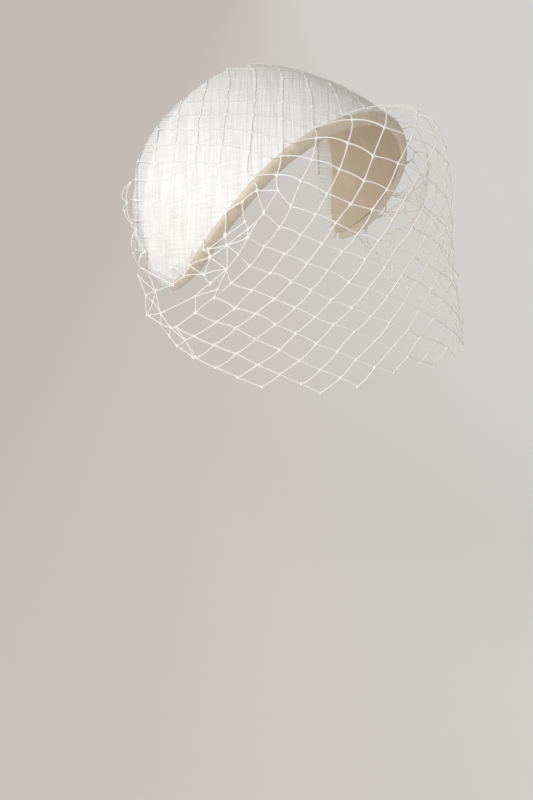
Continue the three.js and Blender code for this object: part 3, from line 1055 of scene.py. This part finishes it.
def is_on_side(place):
    """Whether a place of the net, in u and v, lies on a side of the crown, behind the drawn-up net."""
    return BUNCH_LEANS[0] < TIP_LEAN * abs(place[0]) < END_LEANS[0] and net_row(place[1]) < LAP_ROWS


def is_drawn_up(place):
    """Whether a place of the net, in u and v, belongs to the drawn-up net."""
    lean, row = TIP_LEAN * abs(place[0]), net_row(place[1])
    first_row, last_row = np.interp(lean, EDGE_LEANS, EDGE_ROWS), np.interp(lean, BUNCH_LEANS, BUNCH_ROWS)
    in_bunch = BUNCH_LEANS[0] < lean and first_row < row < last_row
    return in_bunch or (row > END_ROWS[0] and lean > np.interp(row, END_ROWS, END_LEANS))


def net_links(knots):
    """Pairs of neighbouring knots, without loose ends except beside the drawn-up net."""
    while True:
        links = [
            (knot, (knot[0] + di, knot[1] + dj))
            for knot in knots
            for di, dj in ((1, 0), (0, 1))
            if (knot[0] + di, knot[1] + dj) in knots
        ]
        ends = [knot for link in links for knot in link]
        least = {knot: 1 if is_on_side(place) else 2 for knot, place in knots.items()}
        loose = [knot for knot in knots if ends.count(knot) < least[knot]]
        if not loose:
            return links
        for knot in loose:
            del knots[knot]


def net_behind(lean, y):
    """Points and normals of the net round the back roll, and how far they lie past its top."""
    held = np.clip(lean, -TIP_LEAN, TIP_LEAN)
    half_wide, half_thick, tuck, stand, drop = roll_section(BACK_ROLL, held)
    edge = crown_y(held, 0)
    across, above = half_wide + BACK_WRAP["clear"], half_thick + BACK_WRAP["clear"]
    first = -np.arctan2(across * np.sin(tuck), above * np.cos(tuck))
    top = edge + stand + across * np.sin(first) * np.cos(tuck) + above * np.cos(first) * np.sin(tuck)
    turn = np.clip((y - top) / ((across + above) / 2), 0, BACK_WRAP["most"] - first) + first
    outward = crown_normal(lean, edge)
    aside = unit(crown_surface(lean, edge + 0.5) - crown_surface(lean, edge - 0.5))
    hub = crown_surface(lean, edge) + aside * stand[:, None] - outward * (BACK_WRAP["depth"] + drop)[:, None]
    flat, raised = roll_axes(aside, outward, tuck)
    points = hub + flat * (across * np.sin(turn))[:, None] + raised * (above * np.cos(turn))[:, None]
    normal = unit(flat * (above * np.sin(turn))[:, None] + raised * (across * np.cos(turn))[:, None])
    return points, normal, y - top


def lying_net(lean, row):
    """Points of the net with its gathers, close to the silk where it lies on the crown, and its normals."""
    normal = veil_normal(lean, row)
    points = veil_surface(lean, row)
    crown_lean, crown_place = lap_place(lean, row)
    behind, behind_normal, past = net_behind(crown_lean, crown_place)
    sink = blend(NET_SINK, smooth_step(*SINK_LEANS, np.abs(crown_lean)))
    wrapped = ((past > 0) & (row < LAP_ROWS))[:, None]
    points = np.where(wrapped, behind + behind_normal * sink[:, None], points)
    normal = np.where(wrapped, behind_normal, normal)
    pleated = smooth_step(*PLEAT_LEANS, np.abs(lean)) * smooth_step(*PLEAT_ROWS, row)
    slack = smooth_step(*SLACK_LEANS, np.abs(lean)) * smooth_step(*SLACK_PAST, past)
    lift = PLEAT * pleated * np.sin(np.pi * row / 2) ** 2
    lift += NET_SLACK * slack * (1 - smooth_step(*SLACK_ROWS, row))
    lift += (1 - smooth_step(*LEAVE_ROWS, row)) * (cover_relief(crown_lean, crown_place) - sink)
    return points + normal * lift[:, None], normal


def net_points(u, v, lift):
    """Points of the net and its normals, for places that may lie past its ends or stand off it."""
    inside = np.clip(u, -1, 1)
    row = net_row(v)
    points, normal = lying_net(TIP_LEAN * inside, row)
    back_step = 0.02
    before = lying_net(TIP_LEAN * (inside - back_step * np.sign(inside)), row)[0]
    step = (points - before) / back_step
    return points + step * np.abs(u - inside)[:, None] + normal * lift[:, None], normal


def knot_kind(knot):
    """The letter of a knot of the drawn-up net, and an empty word for a knot of the even net."""
    return knot[1][0] if isinstance(knot[1], str) else ""


def side_gather(side, dice):
    """Knots and strands of the net that is drawn up along the front edge and behind a tip."""
    spots = {}
    for letter, places in GATHER_KNOTS.items():
        for number, (lean, row, lift) in enumerate(places, 1):
            moved = dice.normal(size=3) * GATHER_STRAY
            spots[side, f"{letter}{number}"] = np.array([side * lean / TIP_LEAN, net_v(row), lift]) + moved
    links = [tuple((side, name) for name in link.split("-")) for link in GATHER_LINKS]
    return spots, links


def joining_links(even, spots, centres):
    """Strands from the even net's cut edge to the nearest knots of the drawn-up net."""
    names = list(spots)
    order = {knot: i for i, knot in enumerate(names)}
    ends = np.bincount([order[knot] for link in even for knot in link], minlength=len(names))
    drawn_up = np.array([i for i, knot in enumerate(names) if knot_kind(knot)])
    along_edge = np.array([knot_kind(names[i]) in "ep" for i in drawn_up])
    joins = []
    for i, knot in enumerate(names):
        if knot_kind(knot) or ends[i] > 3:
            continue
        on_side = is_on_side(spots[knot])
        among = drawn_up[along_edge] if on_side else drawn_up
        away = np.linalg.norm(centres[among] - centres[i], axis=1)
        nearest = np.argsort(away)[: min(4 - ends[i], 2 if on_side else 4)]
        reach = SIDE_REACH if on_side else GATHER_REACH
        joins += [(knot, names[among[k]]) for k in nearest if away[k] < reach]
    return joins


class NetPlan:
    """Knots and strands of the net, before they are made of thread."""

    def __init__(self, cell, dice):
        fields = [strand_field(falling, cell) for falling in (True, False)]
        knots = {knot: place for knot, place in net_knots(fields).items() if not is_drawn_up(place)}
        even = net_links(knots)
        if not even:
            raise RuntimeError("The net has no knots: its cell is too large for the veil")
        self.spots = {knot: (*place, 0) for knot, place in knots.items()}
        drawn_up = []
        for side in (-1, 1):
            spots, links = side_gather(side, dice)
            self.spots.update(spots)
            drawn_up += links
        self.places = np.array(list(self.spots.values()), float)
        self.free = smooth_step(*FREE_PLACES, self.places[:, 1])
        centres, self.normals = net_points(*self.places.T)
        joins = joining_links(even, self.spots, centres)
        self.links = even + drawn_up + joins
        self.is_even = np.arange(len(self.links)) < len(even)
        self.is_join = np.arange(len(self.links)) >= len(even) + len(drawn_up)
        moved = dice.normal(size=centres.shape) * blend(KNOT_STRAY, self.free)[:, None]
        self.moved = moved - self.normals * (dot(moved, self.normals) * (1 - self.free))[:, None]
        self.centres = centres + self.moved

    def strands(self, thread, dice):
        """Each strand's line of points, normals, radii and height."""
        order = {knot: i for i, knot in enumerate(self.spots)}
        a, b = np.array([[order[knot] for knot in link] for link in self.links]).T
        first, last = self.places[a], self.places[b]
        share = np.linspace(0, 1, STRAND_POINTS)[None, :, None]
        arch = 4 * share * (1 - share)
        spans = first[:, None] * (1 - share) + last[:, None] * share
        lines, normals = (found.reshape(spans.shape) for found in net_points(*spans.reshape(-1, 3).T))
        chords = lines[:, :1] * (1 - share) + lines[:, -1:] * share
        lying = np.maximum(first[:, 2], last[:, 2]) < LYING_LIFT
        lying &= np.minimum(first[:, 1], last[:, 1]) < net_v(LAP_ROWS)
        taut = ~(self.is_even | lying)
        lines[taut] = chords[taut]
        sunk = JOIN_SINK * (1 - smooth_step(*JOIN_ROWS, net_row(spans[..., 1:2]))) * np.minimum(1, 4 * share)
        lines -= normals * sunk * self.is_join[:, None, None]
        lines += self.moved[a][:, None] * (1 - share) + self.moved[b][:, None] * share
        bow = dice.normal(size=len(a)) * np.where(self.free[a] > 0.5, STRAND_BOW[1], STRAND_BOW[0])
        sway = dice.normal(size=len(a)) * STRAND_SWAY
        bow[taut] += GATHER_BOW * dice.uniform(0, 1, taut.sum())
        looped = np.array([{knot_kind(knot) for knot in link} == {"l"} for link in self.links])
        bow[looped] += LOOP_BOW
        sideways = np.cross(unit(np.gradient(lines, axis=1)), normals)
        lines += arch * (normals * bow[:, None, None] + sideways * sway[:, None, None])
        flare = 1 + STRAND_FLARE * (1 - arch[0, :, 0]) ** 3
        radii = thread * dice.uniform(*STRAND_SIZES, len(a))[:, None] * flare
        radii[looped] *= LOOP_THREAD
        heights = blend(STRAND_HEIGHT, np.maximum(self.free[a], self.free[b]))
        return zip(lines, normals, radii, heights)

    def knots(self, size, dice):
        """Each knot's centre and its three half axes."""
        for knot, centre, normal, loose in zip(self.spots, self.centres, self.normals, self.free):
            heading = unit(np.cross(normal, dice.normal(size=3)))
            axes = np.stack([heading, np.cross(normal, heading), normal])
            spread = size * np.array([*KNOT_SHAPE, blend(KNOT_HEIGHT, loose)]) * dice.uniform(*KNOT_SIZES)
            spread *= BUNCH_KNOT if knot_kind(knot) == "b" else 1
            yield centre, axes * spread[:, None]


def knot_lump():
    """A small rounded lump of 32 triangles."""
    corners = [(1, 0, 0), (0, 1, 0), (-1, 0, 0), (0, -1, 0), (0, 0, 1), (0, 0, -1)]
    points = [np.array(corner, float) for corner in corners]
    faces = []
    halves = {}

    def half(a, b):
        key = (min(a, b), max(a, b))
        if key not in halves:
            halves[key] = len(points)
            points.append(unit(points[a] + points[b]))
        return halves[key]

    for k in range(4):
        for a, b, c in ((k, (k + 1) % 4, 4), ((k + 1) % 4, k, 5)):
            ab, bc, ca = half(a, b), half(b, c), half(c, a)
            faces += [(a, ab, ca), (ab, b, bc), (ca, bc, c), (ab, bc, ca)]
    return np.array(points), faces


class NetMesh:
    """Points, faces and cloth map of the net while it is put together."""

    def __init__(self):
        self.points, self.faces, self.cloth_map = [], [], []
        self.count = 0

    def add_strand(self, line, normal, radius, height, sides=5):
        """A closed tube along a line, with its height as a share of its width."""
        tangent = unit(np.gradient(line, axis=0))
        aside = unit(np.cross(tangent, normal))
        up = np.cross(aside, tangent)
        angles = 2 * np.pi * np.arange(sides) / sides
        beside = np.cos(angles)[None, :, None] * aside[:, None]
        above = height * np.sin(angles)[None, :, None] * up[:, None]
        rings = line[:, None] + radius[:, None, None] * (beside + above)
        along = lengths_along(line)
        first = self.count
        for i in range(len(line) - 1):
            here, there = along[i], along[i + 1]
            for k in range(sides):
                a, b = first + i * sides + k, first + i * sides + (k + 1) % sides
                self.faces.append((a, a + sides, b + sides, b))
                low, high = radius[i] * angles[1] * k, radius[i] * angles[1] * (k + 1)
                self.cloth_map += [(here, low), (there, low), (there, high), (here, high)]
        last = first + (len(line) - 1) * sides
        for cap in ([first + k for k in range(sides)], [last + k for k in reversed(range(sides))]):
            self.faces.append(tuple(cap))
            self.cloth_map += [(0, 0)] * sides
        self.points.append(rings.reshape(-1, 3))
        self.count += rings.shape[0] * sides

    def add_knot(self, lump, centre, axes):
        """A lump at a centre, stretched along three half axes."""
        points, faces = lump
        self.points.append(centre + points @ axes)
        for face in faces:
            self.faces.append(tuple(self.count + k for k in face))
            self.cloth_map += [tuple(points[k][:2]) for k in face]
        self.count += len(points)

    def build(self, name):
        """One joined object of all that was added."""
        mesh = bpy.data.meshes.new(name)
        mesh.from_pydata((np.concatenate(self.points) * MM).tolist(), [], self.faces)
        layer = mesh.uv_layers.new(name="UVMap")
        layer.data.foreach_set("uv", (np.array(self.cloth_map, float) * MM).ravel())
        mesh.update()
        piece = bpy.data.objects.new(name, mesh)
        bpy.context.collection.objects.link(piece)
        bpy.ops.object.select_all(action="DESELECT")
        piece.select_set(True)
        bpy.context.view_layer.objects.active = piece
        return piece


class HALFHAT_OT_veil(bpy.types.Operator):
    """Make the knotted net veil"""

    bl_idname = "half_hat.veil"
    bl_label = "Net Veil"

    def execute(self, context):
        sizes, colours = context.scene.half_hat_sizes, context.scene.half_hat_colours
        dice = np.random.default_rng(NET_SEED)
        plan = NetPlan(sizes.net_cell / MM, dice)
        net = NetMesh()
        for strand in plan.strands(sizes.net_thread / MM / 2, dice):
            net.add_strand(*strand)
        lump = knot_lump()
        for knot in plan.knots(sizes.net_knot / MM / 2, dice):
            net.add_knot(lump, *knot)
        piece = net.build("net_veil")
        finish_piece(piece, "veil_net", veil_thread(colours, sizes))
        return {"FINISHED"}


# Stage, in metres

CAMERA_PLACE = (-0.5455, -0.4896, 0.0889)
CAMERA_TILT, CAMERA_PAN = math.radians(66.86), math.radians(-47.42)
# In millimetres
CAMERA_LENS, CAMERA_SENSOR = 50, 36
FLOOR_SIZE, FLOOR_HEIGHT = 40, -0.45
# Width over which the floor's painted light grows, from the camera's left to its right
FLOOR_SWEEP = 1.0
SKY_COLOUR, SKY_STRENGTH = (1.0, 0.945, 0.86, 1), 0.31
# Soft light from the left: the direction that it comes from, its strength, spread and colour
WINDOW_FROM = (-0.915, -0.03, 0.4)
WINDOW_STRENGTH, WINDOW_SPREAD, WINDOW_COLOUR = 2.7, math.radians(75), (0.98, 1.0, 1.03)


def pale_floor(colours):
    """The floor's material, with painted light: a little lighter on the camera's right, as if lit more
    there.
    """
    material = bpy.data.materials.new("pale_floor")
    material.use_nodes = True
    tree = material.node_tree
    shader = tree.nodes["Principled BSDF"]
    x, y, _ = CAMERA_PLACE
    left = (x - math.cos(CAMERA_PAN) * FLOOR_SWEEP / 2, y - math.sin(CAMERA_PAN) * FLOOR_SWEEP / 2, 0)
    coordinates = add_node(tree, "TexCoord")
    placed = add_node(tree, "Mapping", vector_type="TEXTURE")
    placed.inputs["Location"].default_value = left
    placed.inputs["Rotation"].default_value = (0, 0, CAMERA_PAN)
    placed.inputs["Scale"].default_value = (FLOOR_SWEEP, 1, 1)
    tree.links.new(coordinates.outputs["Object"], placed.inputs["Vector"])
    # Painted light: the floor's colour grows lighter across the camera's view, from its left to its right
    painted_light_sweep = add_node(tree, "TexGradient", gradient_type="EASING")
    tree.links.new(placed.outputs["Vector"], painted_light_sweep.inputs["Vector"])
    coloured(tree, shader, painted_light_sweep.outputs["Fac"], colours.floor, colours.floor_painted_light)
    shader.inputs["Roughness"].default_value = 0.9
    shader.inputs["Specular IOR Level"].default_value = 0.1
    return material


class HALFHAT_OT_stage(bpy.types.Operator):
    """Make the floor, the light and the camera"""

    bl_idname = "half_hat.stage"
    bl_label = "Stage"

    def add_floor(self, colours):
        """A wide plain floor, well below the hat."""
        bpy.ops.object.select_all(action="DESELECT")
        bpy.ops.mesh.primitive_plane_add(size=FLOOR_SIZE, location=(0, 0, FLOOR_HEIGHT))
        floor = bpy.context.object
        floor.name = "floor"
        bpy.ops.object.transform_apply(location=True, rotation=True, scale=True)
        floor.data.materials.append(pale_floor(colours))

    def add_light(self, scene):
        """A soft sky all round and a wide light from the left."""
        scene.world = scene.world or bpy.data.worlds.new("studio")
        scene.world.use_nodes = True
        sky = scene.world.node_tree.nodes["Background"]
        sky.inputs["Color"].default_value = SKY_COLOUR
        sky.inputs["Strength"].default_value = SKY_STRENGTH
        bpy.ops.object.light_add(type="SUN", location=(0, 0, 1))
        window = bpy.context.object
        window.name = "left_window"
        x, y, z = WINDOW_FROM
        window.rotation_euler = (math.atan2(math.hypot(x, y), z), 0, math.atan2(x, -y))
        window.data.energy = WINDOW_STRENGTH
        window.data.angle = WINDOW_SPREAD
        window.data.color = WINDOW_COLOUR

    def add_camera(self, scene):
        """The camera at the photograph's viewing angle."""
        bpy.ops.object.camera_add(location=CAMERA_PLACE, rotation=(CAMERA_TILT, 0, CAMERA_PAN))
        scene.camera = bpy.context.object
        scene.camera.name = "camera"
        scene.camera.data.lens = CAMERA_LENS
        scene.camera.data.sensor_width = CAMERA_SENSOR

    def execute(self, context):
        scene = context.scene
        self.add_floor(scene.half_hat_colours)
        self.add_light(scene)
        self.add_camera(scene)
        scene.view_settings.view_transform = "Standard"
        scene.view_settings.look = "None"
        return {"FINISHED"}


# Panel and registration


class HALFHAT_PT_sidebar(bpy.types.Panel):
    """The half hat's pieces, sizes and colours"""

    bl_idname = "HALFHAT_PT_sidebar"
    bl_label = "Half Hat"
    bl_space_type = "VIEW_3D"
    bl_region_type = "UI"
    bl_category = "Half Hat"

    def draw(self, context):
        layout = self.layout
        for group in (context.scene.half_hat_sizes, context.scene.half_hat_colours):
            column = layout.column()
            for name in group.__annotations__:
                column.prop(group, name)
        for operator in OPERATORS:
            layout.operator(operator.bl_idname)


OPERATORS = (
    HALFHAT_OT_stage,
    HALFHAT_OT_cover,
    HALFHAT_OT_lining,
    HALFHAT_OT_edge_rolls,
    HALFHAT_OT_veil,
)
CLASSES = (HatSizes, HatColours) + OPERATORS + (HALFHAT_PT_sidebar,)


def register():
    """Makes the classes known, with the scene's sizes and colours."""
    for made in CLASSES:
        bpy.utils.register_class(made)
    bpy.types.Scene.half_hat_sizes = bpy.props.PointerProperty(type=HatSizes)
    bpy.types.Scene.half_hat_colours = bpy.props.PointerProperty(type=HatColours)


def unregister():
    """Takes back what register made."""
    del bpy.types.Scene.half_hat_colours
    del bpy.types.Scene.half_hat_sizes
    for made in reversed(CLASSES):
        bpy.utils.unregister_class(made)


def main():
    register()
    bpy.ops.half_hat.stage()
    bpy.ops.half_hat.cover()
    bpy.ops.half_hat.lining()
    bpy.ops.half_hat.edge_rolls()
    bpy.ops.half_hat.veil()


if __name__ == "__main__":
    main()
